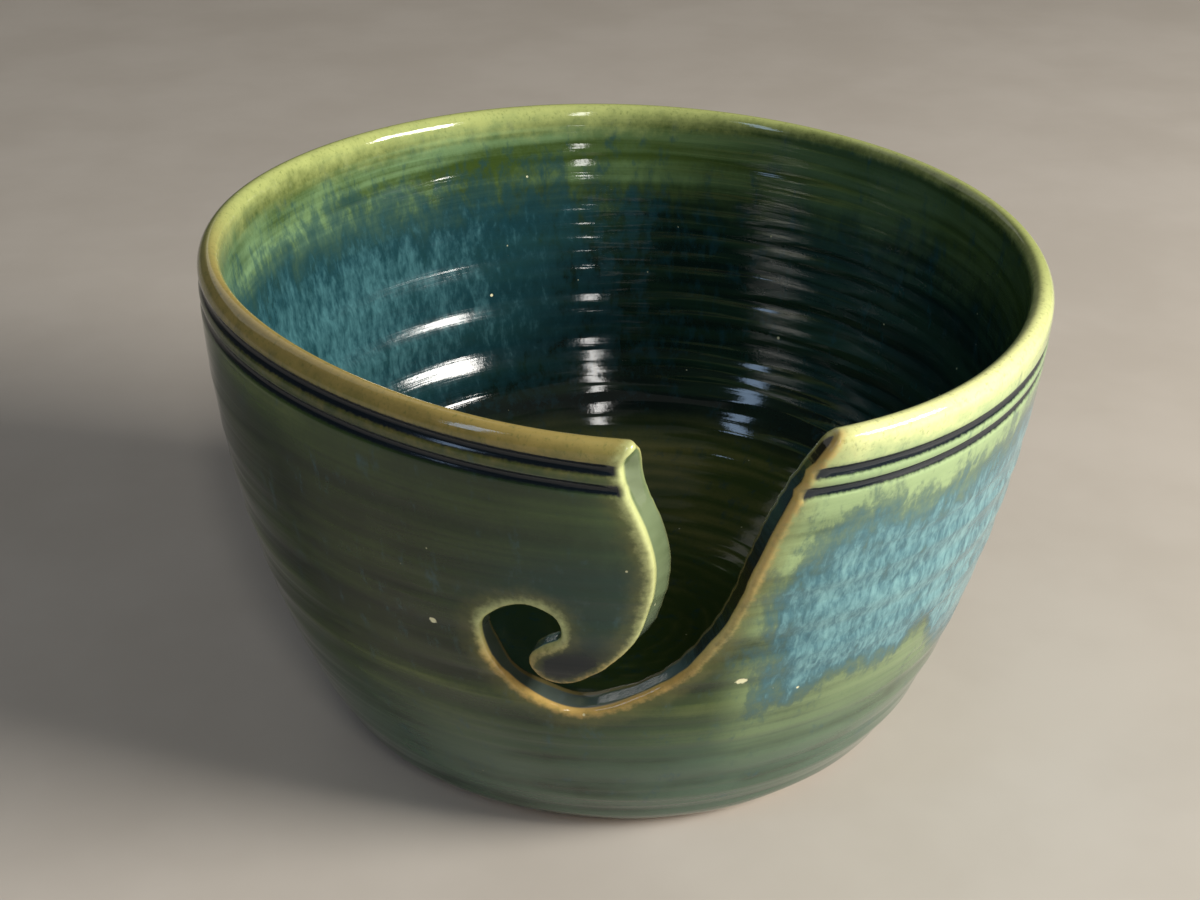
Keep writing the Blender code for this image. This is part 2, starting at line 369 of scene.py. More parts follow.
def facts_of(points, from_cut, across=None):
    """What colours each point. across runs from 0 at the outside to 1 at the inside of the cut's face."""
    along, climb = wrapped(points[:, 0]), points[:, 1]
    bearing = points[:, 0] / RIM_RADIUS - math.pi / 2
    below = np.abs(climb - wall.crest)
    down = HEIGHT - wall.at(climb)[1]
    inside = climb > wall.crest
    inside_share = smooth_step(-1.6, 1.6, climb - wall.crest) if across is None else across
    wash = blue_wash(along, down, inside)
    # Glaze pooled at the tip of the tongue, blue-green beside it and low on the wall
    tongue = np.exp(-(((along + 9.0) / 8.5) ** 2) - ((down - 46.0) / 5.0) ** 2)
    pool = np.where(inside, 0.0, np.clip(1.5 * tongue, 0.0, 0.95) * smooth_step(0.8, 2.2, from_cut))
    outside = np.where(inside, 0.0, 1.0)
    low_front = smooth_step(50.0, 78.0, down) * outside
    beside_tongue = np.exp(-(((along + 6.0) / 17.0) ** 2) - ((down - 34.0) / 13.0) ** 2) * outside
    cool = np.clip(1.2 * low_front * (0.6 + 0.4 * np.cos(bearing + 1.0)) + 1.7 * beside_tongue, 0.0, 1.0)
    # The lip is ochre at the left front, and right of the slot, on the side facing the key light, the glaze is pale
    # yellow-green: partly its own colour and partly a painted highlight
    warm = smooth_step(0.35, 0.95, np.cos(bearing - math.radians(-128.0)))
    line = line_share(bearing, climb)
    ridge = ridges(bearing, climb)
    pale_and_sheen = smooth_step(14.0, 26.0, along) * smooth_step(-120.0, -60.0, -along) * smooth_step(80.0, 36.0, down)
    pale_and_sheen = np.where(climb > wall.crest + 2.0, 0.0, pale_and_sheen)
    return np.stack([below, inside_share, from_cut, line, ridge, wash, pool, cool, warm, pale_and_sheen], axis=1)


class Skin:
    """The points and faces of one piece, gathered sheet by sheet."""

    def __init__(self):
        self.points, self.facts, self.faces, self.count = [], [], [], 0

    def add(self, points, facts):
        first = self.count
        self.points.append(points)
        self.facts.append(facts)
        self.count += len(points)
        return np.arange(first, self.count)

    def quads(self, lower, upper, closed=False):
        """Faces between two rows of point numbers."""
        a, b = np.asarray(lower), np.asarray(upper)
        if closed:
            a, b = np.append(a, a[0]), np.append(b, b[0])
        self.faces += np.stack([a[:-1], a[1:], b[1:], b[:-1]], axis=1).tolist()

    def fan(self, ring, tip):
        ring = list(ring)
        self.faces += [[a, b, tip] for a, b in zip(ring, ring[1:] + ring[:1])]

    def bridge(self, fine_ring, coarse_ring):
        """Faces between two rings, the first with a whole number of points to each of the second."""
        ratio = len(fine_ring) // len(coarse_ring)
        for j, here in enumerate(coarse_ring):
            run = [fine_ring[(j * ratio + k) % len(fine_ring)] for k in range(ratio + 1)]
            self.faces.append([*run, coarse_ring[(j + 1) % len(coarse_ring)], here])

    def finish(self, name):
        mesh = bpy.data.meshes.new(name)
        mesh.from_pydata((np.vstack(self.points) * MM).tolist(), [], [[int(i) for i in f] for f in self.faces])
        bm = bmesh.new()
        bm.from_mesh(mesh)
        bmesh.ops.recalc_face_normals(bm, faces=bm.faces)
        bm.to_mesh(mesh)
        bm.free()
        for i, fact in enumerate(FACTS):
            layer = mesh.attributes.new(fact, "FLOAT", "POINT")
            layer.data.foreach_set("value", np.vstack(self.facts)[:, i].astype(np.float32))
        mesh.polygons.foreach_set("use_smooth", [True] * len(mesh.polygons))
        piece = bpy.data.objects.new(name, mesh)
        bpy.context.scene.collection.objects.link(piece)
        return piece


def cut_window(along, rows):
    """First and last column and row of the part of the grid that holds the cut."""
    step = along[1] - along[0]
    left, right = -math.ceil(WINDOW_HALF / step), math.ceil(WINDOW_HALF / step)
    low, high = wall.outside(HEIGHT - WINDOW_DOWN), wall.inside(HEIGHT - WINDOW_DOWN)
    return left, right, int(np.searchsorted(rows, low)) - 1, int(np.searchsorted(rows, high))


def wall_sheet(skin, inset, columns, step, fine):
    """A sheet over the whole wall with the swirl cut from it, inset under the glaze. Returns its bottom ring."""
    along = np.arange(columns) * TURN / columns
    rows = rows_for(step, fine)
    left, right, bottom, top = cut_window(along, rows)
    edge = swirl + swirl_out * EDGE_ROUND

    # The whole grid but the inside of the window
    number = -np.ones((len(rows), columns), int)
    keep = np.ones((len(rows) - 1, columns), bool)
    inner_columns = np.arange(left + 1, right) % columns
    keep[np.ix_(range(bottom + 1, top), inner_columns)] = False
    grid = [(r, c) for r in range(len(rows) - 1) for c in range(columns) if keep[r, c]]
    grid_points = np.array([(along[c], rows[r]) for r, c in grid])

    def far_from_cut(points):
        near = np.abs(wrapped(points[:, 0])) < 75.0
        gap = np.full(len(points), FAR_AWAY)
        shifted = np.stack([wrapped(points[near, 0]), points[near, 1]], axis=1)
        gap[near] = distance_to(shifted, swirl)
        return gap

    ids = skin.add(place(grid_points, inset, fine), facts_of(grid_points, far_from_cut(grid_points)))
    for (r, c), i in zip(grid, ids):
        number[r, c] = i
    for r in range(len(rows) - 2):
        ring = number[r], number[r + 1]
        if not bottom <= r < top:
            skin.quads(*ring, closed=True)
            continue
        outside_window = np.arange(right, left + columns + 1) % columns
        skin.quads(ring[0][outside_window], ring[1][outside_window])
    middle = np.array([[0.0, rows[-1]]])
    tip = skin.add(place(middle, inset, fine), facts_of(middle, np.array([FAR_AWAY])))[0]
    skin.fan(number[len(rows) - 2], tip)

    # The window, filled between its border and the edge of the cut
    step_along = TURN / columns
    inner = np.array([(c * step_along, rows[r]) for r in range(bottom + 1, top) for c in range(left + 1, right)])
    gap = distance_to(inner, edge)
    inner = inner[(gap > 0.55 * min(step, step_along)) & ~within(inner, edge)]
    edge_ids = skin.add(place(edge, inset, fine), facts_of(edge, np.full(len(edge), EDGE_ROUND)))
    inner_ids = skin.add(place(inner, inset, fine), facts_of(inner, distance_to(inner, swirl)))
    border = [(bottom, c) for c in range(left, right + 1)] + [(top, c) for c in range(left, right + 1)]
    border += [(r, c) for r in range(bottom + 1, top) for c in (left, right)]
    border_points = [(c * step_along, rows[r]) for r, c in border]
    border_ids = [number[r, c % columns] for r, c in border]
    flat = [Vector(p) for p in [*edge, *inner, *border_points]]
    all_ids = [*edge_ids, *inner_ids, *border_ids]
    ties = [(i, (i + 1) % len(edge)) for i in range(len(edge))]
    made = geometry.delaunay_2d_cdt(flat, ties, [], 0, 1e-6)
    corners = np.array([v[:] for v in made[0]])
    triangles = np.array(made[2])
    solid = ~within(corners[triangles].mean(axis=1), edge)
    for triangle in triangles[solid]:
        skin.faces.append([all_ids[made[3][v][0]] for v in triangle])

    # The rounded edge of the cut, then its face from the outside to the inside
    previous = edge_ids
    turns = 6 if fine else 3
    for k in range(1, turns + 1):
        turn = math.pi / 2 * k / turns
        aside = EDGE_ROUND - (EDGE_ROUND - inset) * math.sin(turn)
        depth = EDGE_ROUND - (EDGE_ROUND - inset) * math.cos(turn)
        points = swirl + swirl_out * aside
        reach = np.full(len(points), EDGE_ROUND * (1.0 - k / turns))
        current = skin.add(place(points, depth, fine), facts_of(points, reach))
        skin.quads(previous, current, closed=True)
        previous = current
    cut_face(skin, previous, 4 if fine else 2)
    return number[0]


def cut_face(skin, edge_ids, strips):
    """The face of the cut: across the wall from each station outside to its mate inside."""
    points, facts = np.vstack(skin.points), np.vstack(skin.facts)
    half = len(edge_ids) // 2
    previous = [edge_ids[0]] * (strips + 1)
    for i in range(1, half + 1):
        a, b = edge_ids[i], edge_ids[-i]
        current = [a] * (strips + 1)
        if i < half:
            shares = np.arange(1, strips)[:, None] / strips
            width = np.linalg.norm(points[a] - points[b])
            inner_facts = facts[a] + (facts[b] - facts[a]) * shares
            inner_facts[:, FACTS.index("from_cut")] = -width * np.minimum(shares, 1.0 - shares)[:, 0]
            inner_facts[:, FACTS.index("inside")] = shares[:, 0]
            inner_ids = skin.add(points[a] + (points[b] - points[a]) * shares, inner_facts)
            current = [a, *inner_ids, b]
        for k in range(strips):
            corners = [previous[k], previous[k + 1], current[k + 1], current[k]]
            skin.faces.append(list(dict.fromkeys(corners)))
        previous = current


def make_glaze():
    """A skin of glaze over the wall, closed by its own underside, with a rolled end above the foot."""
    skin = Skin()
    outer = wall_sheet(skin, 0.0, COLUMNS, FINE_STEP, True)
    hidden = wall_sheet(skin, GLAZE_THICKNESS, COLUMNS // 2, HIDDEN_STEP, False)
    skin.bridge(outer, hidden)
    return skin.finish("glaze_skin")


def make_clay():
    """The clay under the glaze, bare at the foot ring and under the pot."""
    skin = Skin()
    ring = wall_sheet(skin, CLAY_INSET, COLUMNS // 2, HIDDEN_STEP, False)
    bearing = np.arange(COLUMNS // 2) * 2 * math.pi / (COLUMNS // 2) - math.pi / 2
    foot = FOOT_RADIUS + 0.15
    inside_ring = foot - FOOT_RING_WIDTH
    under = [(foot, 1.15), (foot, FOOT_BEVEL)]
    under += [(foot - FOOT_BEVEL * (1.0 - math.cos(t)), FOOT_BEVEL * (1.0 - math.sin(t)))
              for t in np.linspace(0.0, math.pi / 2, 6)[1:]]
    under += [(inside_ring + 1.2, 0.0), (inside_ring + 0.35, 0.12), (inside_ring, 0.5)]
    under += [(inside_ring - 0.9, FOOT_RECESS - 0.25), (inside_ring - 1.9, FOOT_RECESS)]
    under += [(r, FOOT_RECESS + 0.05 * math.sin(r * 1.9)) for r in np.linspace(inside_ring - 3.0, 1.5, 40)]
    plain = np.zeros((len(bearing), len(FACTS)))
    plain[:, FACTS.index("from_cut")] = FAR_AWAY
    plain[:, FACTS.index("below_lip")] = wall.crest
    for r, z in under:
        lower = skin.add(eased(r, bearing, np.full(len(bearing), z)), plain)
        skin.quads(lower, ring, closed=True)
        ring = lower
    tip = skin.add(np.array([[0.0, 0.0, FOOT_RECESS]]), plain[:1])[0]
    skin.fan(ring, tip)
    return skin.finish("clay_foot_and_body")


# ---- materials ----

class Wires:
    """Adds nodes to a tree and joins them. A socket or a plain value may stand for any input."""

    def __init__(self, tree):
        self.tree = tree

    def plug(self, socket, value):
        if isinstance(value, bpy.types.NodeSocket):
            self.tree.links.new(value, socket)
        else:
            socket.default_value = (*value, 1.0) if socket.type == "RGBA" else value

    def node(self, kind, **settings):
        made = self.tree.nodes.new(kind if kind.startswith("Node") else "ShaderNode" + kind)
        made.location = (190 * (len(self.tree.nodes) % 12), -260 * (len(self.tree.nodes) // 12))
        for name, value in settings.items():
            setattr(made, name, value)
        return made

    def math(self, operation, a, b=0.0, clamp=False):
        made = self.node("Math", operation=operation, use_clamp=clamp)
        self.plug(made.inputs[0], a)
        self.plug(made.inputs[1], b)
        return made.outputs[0]

    def add(self, a, b):
        return self.math("ADD", a, b)

    def times(self, a, b):
        return self.math("MULTIPLY", a, b)

    def mix(self, share, a, b):
        """Colour a where share is 0 and b where it is 1."""
        made = self.node("Mix", data_type="RGBA")
        self.plug(made.inputs[0], share)
        self.plug(made.inputs[6], a)
        self.plug(made.inputs[7], b)
        return made.outputs[2]

    def rise(self, value, low, high):
        """0 below low, 1 above high and smooth between. low may be the greater one."""
        made = self.node("MapRange", interpolation_type="SMOOTHSTEP")
        self.plug(made.inputs["Value"], value)
        if low > high:
            low, high = high, low
            made.inputs["To Min"].default_value, made.inputs["To Max"].default_value = 1.0, 0.0
        made.inputs["From Min"].default_value, made.inputs["From Max"].default_value = low, high
        return made.outputs["Result"]

    def stretched(self, vector, size):
        """The vector measured in lengths of size along each axis."""
        made = self.node("VectorMath", operation="DIVIDE")
        self.plug(made.inputs[0], vector)
        self.plug(made.inputs[1], size)
        return made.outputs[0]

    def noise(self, vector, detail=2.0, roughness=0.5, distortion=0.0):
        made = self.node("TexNoise")
        self.plug(made.inputs["Vector"], vector)
        made.inputs["Scale"].default_value = 1.0
        made.inputs["Detail"].default_value = detail
        made.inputs["Roughness"].default_value = roughness
        made.inputs["Distortion"].default_value = distortion
        return made.outputs["Fac"]

    def fact(self, name):
        return self.node("Attribute", attribute_name=name).outputs["Fac"]

    def millimetres(self):
        """The place on the pot, in millimetres."""
        made = self.node("VectorMath", operation="SCALE")
        self.plug(made.inputs[0], self.node("TexCoord").outputs["Object"])
        made.inputs["Scale"].default_value = 1000.0
        return made.outputs[0]

    def group(self, tree, **values):
        made = self.node("Group", node_tree=tree)
        for name, value in values.items():
            self.plug(made.inputs[name.replace("_", " ")], value)
        return made.outputs


def new_group(name, inputs, outputs):
    """A node group with these sockets, each (name, kind). Returns its tree, wires, inputs and outputs."""
    tree = bpy.data.node_groups.new(name, "ShaderNodeTree")
    for label, kind in inputs:
        tree.interface.new_socket(label, in_out="INPUT", socket_type="NodeSocket" + kind)
    for label, kind in outputs:
        tree.interface.new_socket(label, in_out="OUTPUT", socket_type="NodeSocket" + kind)
    wires = Wires(tree)
    return tree, wires, wires.node("NodeGroupInput").outputs, wires.node("NodeGroupOutput").inputs


def throwing_lines_group():
    """Level lines left by fingers and the rib: broad uneven bands and fine lines, both near 0.5 on average."""
    tree, wires, given, out = new_group(
        "throwing lines", [("Place", "Vector")], [("Bands", "Float"), ("Fine", "Float")])
    wires.plug(out["Bands"], wires.noise(wires.stretched(given["Place"], (90.0, 90.0, 5.5)), 2.0, 0.55))
    wires.plug(out["Fine"], wires.noise(wires.stretched(given["Place"], (45.0, 45.0, 1.1)), 2.0, 0.6))
    return tree


def runs_group():
    """Runs of melted glaze: broad ones and fine ones drawn out down the wall, both near 0.5 on average."""
    tree, wires, given, out = new_group("runs", [("Place", "Vector")], [("Broad", "Float"), ("Fine", "Float")])
    wires.plug(out["Broad"], wires.noise(wires.stretched(given["Place"], (4.6, 4.6, 11.0)), 4.0, 0.62, 0.5))
    wires.plug(out["Fine"], wires.noise(wires.stretched(given["Place"], (1.1, 1.1, 3.6)), 3.0, 0.6, 0.6))
    return tree


def specks_group():
    """Small round specks, one in a few of the cells of a Voronoi pattern. Share is how many cells have one."""
    tree, wires, given, out = new_group(
        "specks", [("Place", "Vector"), ("Share", "Float"), ("Size", "Float")], [("Mask", "Float")])
    cells = wires.node("TexVoronoi")
    wires.plug(cells.inputs["Vector"], given["Place"])
    cells.inputs["Scale"].default_value = 1.0
    chance = wires.node("SeparateColor")
    wires.plug(chance.inputs[0], cells.outputs["Color"])
    chosen = wires.math("LESS_THAN", chance.outputs[0], given["Share"])
    size = wires.times(given["Size"], wires.add(chance.outputs[1], 0.35))
    near = wires.math("SUBTRACT", 1.0, wires.math("DIVIDE", cells.outputs["Distance"], size), clamp=True)
    wires.plug(out["Mask"], wires.times(chosen, wires.rise(near, 0.0, 0.45)))
    return tree


def bare_spot_group():
    """One small bare spot, 1 at the Centre and 0 past Size from it."""
    tree, wires, given, out = new_group(
        "bare spot", [("Place", "Vector"), ("Centre", "Vector"), ("Size", "Vector")], [("Mask", "Float")])
    away = wires.node("VectorMath", operation="SUBTRACT")
    wires.plug(away.inputs[0], given["Place"])
    wires.plug(away.inputs[1], given["Centre"])
    away = wires.stretched(away.outputs[0], given["Size"])
    length = wires.node("VectorMath", operation="LENGTH")
    wires.plug(length.inputs[0], away)
    ragged = wires.noise(wires.stretched(given["Place"], (0.6, 0.6, 0.6)), 2.0, 0.5)
    wires.plug(out["Mask"], wires.rise(wires.add(length.outputs["Value"], wires.add(ragged, -0.5)), 1.1, 0.7))
    return tree


def thin_glaze_group():
    """How thin the glaze has run over an edge, 1 on the edge and 0 a Reach away, with a ragged limit."""
    tree, wires, given, out = new_group(
        "thin glaze", [("Place", "Vector"), ("Distance", "Float"), ("Reach", "Float")], [("Mask", "Float")])
    ragged = wires.noise(wires.stretched(given["Place"], (4.0, 4.0, 4.0)), 3.0, 0.6)
    crumbs = wires.noise(wires.stretched(given["Place"], (1.1, 1.1, 1.1)), 3.0, 0.65)
    distance = wires.add(given["Distance"], wires.times(wires.add(crumbs, -0.5), 1.9))
    share = wires.math("DIVIDE", distance, given["Reach"])
    share = wires.add(share, wires.times(wires.add(ragged, -0.5), 0.8))
    wires.plug(out["Mask"], wires.rise(share, 1.15, 0.0))
    return tree


def rutile_group():
    """A rutile wash over a base glaze: pale blue streaks, deeper blue between them and a violet-grey fringe."""
    tree, wires, given, out = new_group(
        "rutile wash",
        [("Place", "Vector"), ("Amount", "Float"), ("Broad runs", "Float"), ("Fine runs", "Float"),
         ("Under", "Color"), ("Pale", "Color"), ("Deep", "Color"), ("Fringe", "Color")],
        [("Colour", "Color"), ("Cover", "Float")])
    blotch = wires.noise(wires.stretched(given["Place"], (2.4, 2.4, 3.4)), 4.0, 0.65)
    broken = wires.add(given["Amount"], wires.times(wires.add(given["Broad runs"], -0.5), 1.2))
    broken = wires.add(broken, wires.times(wires.add(blotch, -0.5), 0.9))
    broken = wires.add(broken, wires.times(wires.add(given["Fine runs"], -0.5), 0.45))
    cover = wires.rise(broken, 0.15, 0.95)
    pale = wires.rise(wires.add(broken, wires.times(wires.add(given["Fine runs"], -0.5), 0.8)), 0.50, 1.55)
    fringe = wires.rise(broken, 0.05, 0.40)
    colour = wires.mix(wires.times(fringe, 0.55), given["Under"], given["Fringe"])
    colour = wires.mix(cover, colour, wires.mix(pale, given["Deep"], given["Pale"]))
    wires.plug(out["Colour"], colour)
    wires.plug(out["Cover"], cover)
    return tree


class Finishes:
    """The shared node groups, made once."""

    def __init__(self):
        self.lines = throwing_lines_group()
        self.runs = runs_group()
        self.specks = specks_group()
        self.bare = bare_spot_group()
        self.thin = thin_glaze_group()
        self.rutile = rutile_group()


def new_material(name):
    material = bpy.data.materials.new(name)
    material.use_nodes = True
    material.node_tree.nodes.remove(material.node_tree.nodes["Principled BSDF"])
    wires = Wires(material.node_tree)
    shader = wires.node("BsdfPrincipled")
    material.node_tree.links.new(shader.outputs[0], material.node_tree.nodes["Material Output"].inputs["Surface"])
    return material, wires, shader


def bumped(wires, shader, height, depth):
    """Feeds a height, in millimetres at 1, to the shader's normal."""
    bump = wires.node("Bump")
    bump.inputs["Strength"].default_value = 1.0
    bump.inputs["Distance"].default_value = depth * MM
    wires.plug(bump.inputs["Height"], height)
    wires.plug(shader.inputs["Normal"], bump.outputs["Normal"])


# Colours of the glaze, as linear red, green and blue
OLIVE_DARK = (0.007, 0.018, 0.005)
OLIVE = (0.034, 0.060, 0.012)
OLIVE_PALE = (0.125, 0.165, 0.040)
SAGE = (0.190, 0.310, 0.150)
TEAL = (0.014, 0.046, 0.038)
BLUE_GREY = (0.068, 0.125, 0.086)
RIM_OCHRE = (0.350, 0.262, 0.080)
RIM_GREEN = (0.385, 0.430, 0.150)
# The next two: pale rim and pale sage right of the slot, partly own colour and partly a painted highlight
RIM_PALE_SHEEN = (0.780, 0.800, 0.360)
SAGE_PALE_SHEEN = (0.315, 0.430, 0.205)
EDGE_CREAM = (0.470, 0.520, 0.230)
HALO_OCHRE = (0.190, 0.180, 0.050)
EDGE_OCHRE = (0.480, 0.320, 0.100)
# The next colour is painted shade for the faces of the cut right of the middle, which turn away from the key light
FACE_SHADE = (0.016, 0.013, 0.008)
FACE_PALE = (0.150, 0.195, 0.105)
FACE_GREY = (0.070, 0.090, 0.078)
LINE_BLACK = (0.005, 0.010, 0.015)
INSIDE_DARK = (0.004, 0.012, 0.010)
INSIDE_GREEN = (0.012, 0.032, 0.018)
FLOOR_OLIVE = (0.170, 0.165, 0.050)
RUTILE_PALE = (0.180, 0.370, 0.385)
RUTILE_DEEP = (0.025, 0.105, 0.145)
POOL_PALE = (0.060, 0.165, 0.185)
POOL_DEEP = (0.010, 0.048, 0.062)
RUTILE_FRINGE = (0.035, 0.078, 0.072)
PIN_WHITE = (0.800, 0.780, 0.500)


def glaze_material(finishes):
    """Glossy green glaze: olive where thin, blue-black where thick, pale on edges, with a poured rutile wash."""
    material, wires, shader = new_material("broken green glaze")
    where = wires.millimetres()
    below, inside, from_cut = wires.fact("below_lip"), wires.fact("inside"), wires.fact("from_cut")
    lines = wires.group(finishes.lines, Place=where)
    runs = wires.group(finishes.runs, Place=where)
    apart = wires.node("SeparateXYZ")
    wires.plug(apart.inputs[0], where)
    cloud = wires.noise(wires.stretched(where, (22.0, 22.0, 11.0)), 3.0, 0.55)
    grain = wires.noise(wires.stretched(where, (0.7, 0.7, 0.9)), 3.0, 0.65)

    # Thickness of the green: thin on the throwing ridges, thick in the hollows
    thin = wires.add(wires.times(wires.fact("ridge"), 0.22), wires.times(wires.add(lines["Bands"], -0.5), 1.7))
    thin = wires.add(thin, wires.times(wires.add(cloud, -0.5), 1.1))
    thin = wires.add(thin, wires.times(wires.add(lines["Fine"], -0.5), 0.55))
    thin = wires.add(thin, wires.times(wires.add(grain, -0.5), 0.35))
    green = wires.mix(wires.rise(thin, -0.45, 0.35), OLIVE_DARK, OLIVE)
    green = wires.mix(wires.times(wires.rise(thin, 0.15, 0.75), 0.75), green, OLIVE_PALE)
    cool = wires.times(wires.fact("cool"), wires.rise(wires.add(cloud, lines["Bands"]), 0.55, 1.1))
    cool_colour = wires.mix(wires.rise(below, 52.0, 66.0), TEAL, BLUE_GREY)
    green = wires.mix(wires.times(cool, 0.85), green, cool_colour)
    sage_share = wires.times(wires.rise(wires.add(below, wires.times(runs["Broad"], 14.0)), 34.0, 17.0), 0.9)
    sage_share = wires.times(sage_share, wires.add(wires.times(wires.fact("warm"), -0.93), 1.0))
    green = wires.mix(sage_share, green, SAGE)
    # Right of the slot the green turns pale sage, partly its own colour and partly a painted highlight from the key
    # light
    green = wires.mix(wires.times(wires.fact("pale_and_sheen"), wires.rise(thin, -0.9, 0.4)), green, SAGE_PALE_SHEEN)

    # Inside: sage under the lip, fading to olive towards the right as painted shade, dark green wall, olive floor
    well = wires.mix(wires.rise(thin, -0.4, 0.5), INSIDE_DARK, INSIDE_GREEN)
    under_lip = wires.add(below, wires.times(wires.add(runs["Broad"], -0.5), 16.0))
    # Painted shade: less sage under the lip towards the right, the side in shade from the key light
    to_the_left = wires.add(wires.times(wires.rise(apart.outputs["X"], -55.0, 20.0), -0.7), 1.0)
    mossy = wires.times(wires.rise(thin, -0.5, 0.6), to_the_left)
    well = wires.mix(wires.rise(under_lip, 26.0, 10.0), well, wires.mix(mossy, OLIVE, SAGE))
    floor_share = wires.rise(wires.add(below, wires.times(wires.add(cloud, -0.5), 6.0)), 66.0, 76.0)
    well = wires.mix(floor_share, well, wires.mix(wires.rise(thin, -0.4, 0.7), OLIVE, FLOOR_OLIVE))
    base = wires.mix(inside, green, well)

    # The poured blue wash
    washed = wires.group(
        finishes.rutile, Place=where, Amount=wires.fact("wash"), Broad_runs=runs["Broad"], Fine_runs=runs["Fine"],
        Under=base, Pale=wires.mix(inside, RUTILE_PALE, POOL_PALE), Deep=wires.mix(inside, RUTILE_DEEP, POOL_DEEP),
        Fringe=wires.mix(inside, RUTILE_FRINGE, POOL_DEEP))
    base = wires.mix(wires.times(inside, 0.15), washed["Colour"], base)

    # The lip
    rim_colour = wires.mix(wires.fact("warm"), RIM_GREEN, RIM_OCHRE)
    # Right of the slot the lip is paler, partly its own colour and partly a painted highlight from the key light
    rim_colour = wires.mix(wires.fact("pale_and_sheen"), rim_colour, RIM_PALE_SHEEN)
    rim_colour = wires.mix(wires.times(wires.rise(grain, 0.5, 0.8), 0.5), rim_colour, OLIVE_PALE)
    # Painted shade: inside on the right, the side away from the key light, the pale lip band is narrower
    narrower = wires.times(inside, wires.times(wires.rise(apart.outputs["X"], -10.0, 50.0), 4.0))
    lip = wires.group(finishes.thin, Place=where, Distance=below, Reach=wires.math("SUBTRACT", 7.5, narrower))
    base = wires.mix(lip["Mask"], base, rim_colour)

    # The cut: a pale broken edge, and a darker face between, with painted shade on the faces right of the middle
    halo = wires.group(finishes.thin, Place=where, Distance=from_cut, Reach=5.0)
    base = wires.mix(wires.times(halo["Mask"], wires.add(wires.times(inside, -0.4), 0.5)), base, HALO_OCHRE)
    base = wires.mix(wires.fact("pool"), base, LINE_BLACK)
    reach = wires.add(1.5, wires.times(wires.rise(below, 44.0, 34.0), wires.times(wires.fact("warm"), 1.0)))
    edge = wires.group(finishes.thin, Place=where, Distance=from_cut, Reach=reach)
    cream = wires.times(wires.rise(wires.fact("warm"), 0.2, 0.9), wires.rise(below, 50.0, 38.0))
    edge_colour = wires.mix(cream, EDGE_OCHRE, EDGE_CREAM)
    edge_share = wires.times(edge["Mask"], wires.add(wires.times(inside, -0.75), 1.0))
    base = wires.mix(edge_share, base, edge_colour)
    line = wires.add(wires.fact("line"), wires.times(wires.add(grain, -0.5), 0.5))
    turned = wires.times(wires.rise(line, 0.0, 0.5), wires.rise(from_cut, 0.5, 1.4))
    base = wires.mix(turned, base, LINE_BLACK)
    face = wires.mix(wires.rise(below, 44.0, 30.0), FACE_GREY, FACE_PALE)
    # Painted shade on the faces right of the middle, which turn away from the key light
    face = wires.mix(wires.rise(apart.outputs["X"], 6.0, 13.0), face, FACE_SHADE)
    face = wires.mix(wires.times(wires.rise(cloud, 0.4, 0.65), 0.4), face, OLIVE)
    base = wires.mix(wires.rise(from_cut, 0.1, -0.5), base, face)

    # Pinholes and small white flecks
    pins = wires.group(finishes.specks, Place=wires.stretched(where, (7.0, 7.0, 7.0)), Share=0.05, Size=0.05)
    flecks = wires.group(finishes.specks, Place=wires.stretched(where, (2.2, 2.2, 2.6)), Share=0.03, Size=0.10)
    white = wires.math("MAXIMUM", pins["Mask"], wires.times(flecks["Mask"], 0.6))
    for along, down, half_wide, half_high in BARE_SPOTS:
        centre = place(np.array([[along, wall.outside(HEIGHT - down)]]), 0.0, False)[0]
        size = (half_wide, half_wide, half_high)
        spot = wires.group(finishes.bare, Place=where, Centre=tuple(centre), Size=size)
        white = wires.math("MAXIMUM", white, spot["Mask"])
    base = wires.mix(white, base, PIN_WHITE)
    wires.plug(shader.inputs["Base Color"], base)

    # Glossy all over, a little duller in the wash, on flecks and in the turned lines
    rough = wires.add(0.04, wires.times(washed["Cover"], 0.08))
    rough = wires.add(rough, wires.times(grain, 0.08))
    rough = wires.add(rough, wires.times(wires.math("MAXIMUM", white, wires.times(turned, 0.3)), 0.3))
    wires.plug(shader.inputs["Roughness"], rough)
    shader.inputs["IOR"].default_value = 1.48
    height = wires.add(wires.times(lines["Fine"], 0.5), wires.times(grain, 0.10))
    height = wires.add(height, wires.times(lines["Bands"], 0.9))
    height = wires.add(height, wires.times(runs["Fine"], wires.times(washed["Cover"], 0.12)))
    height = wires.add(height, wires.times(white, -0.3))
    bumped(wires, shader, height, 0.12)
    return material


CLAY_BUFF = (0.520, 0.400, 0.250)
CLAY_TAN = (0.380, 0.270, 0.155)
CLAY_IRON = (0.090, 0.050, 0.028)


def clay_material(finishes):
    """Bare buff stoneware: turned lines, a sandy grain and iron specks."""
    material, wires, shader = new_material("buff stoneware")
    place = wires.millimetres()
    lines = wires.group(finishes.lines, Place=place)
    sand = wires.noise(wires.stretched(place, (0.5, 0.5, 0.5)), 3.0, 0.7)
    patches = wires.noise(wires.stretched(place, (9.0, 9.0, 9.0)), 3.0, 0.6)
    colour = wires.mix(wires.rise(wires.add(patches, wires.times(sand, 0.5)), 0.55, 1.0), CLAY_TAN, CLAY_BUFF)
    iron = wires.group(finishes.specks, Place=wires.stretched(place, (1.3, 1.3, 1.3)), Share=0.10, Size=0.16)
    colour = wires.mix(wires.times(iron["Mask"], 0.8), colour, CLAY_IRON)
    wires.plug(shader.inputs["Base Color"], colour)
    wires.plug(shader.inputs["Roughness"], wires.add(0.72, wires.times(sand, 0.2)))
    bumped(wires, shader, wires.add(wires.times(sand, 0.6), wires.times(lines["Fine"], 0.8)), 0.15)
    return material


# ---- the room ----

TABLE_REACH = 3.0  # metres
TABLE_DARKER = (0.45, 0.41, 0.36)
TABLE_LIGHTER = (0.49, 0.45, 0.40)
LIGHT_DISTANCE = 1.1  # metres
WARM_WHITE = (1.0, 0.97, 0.92)

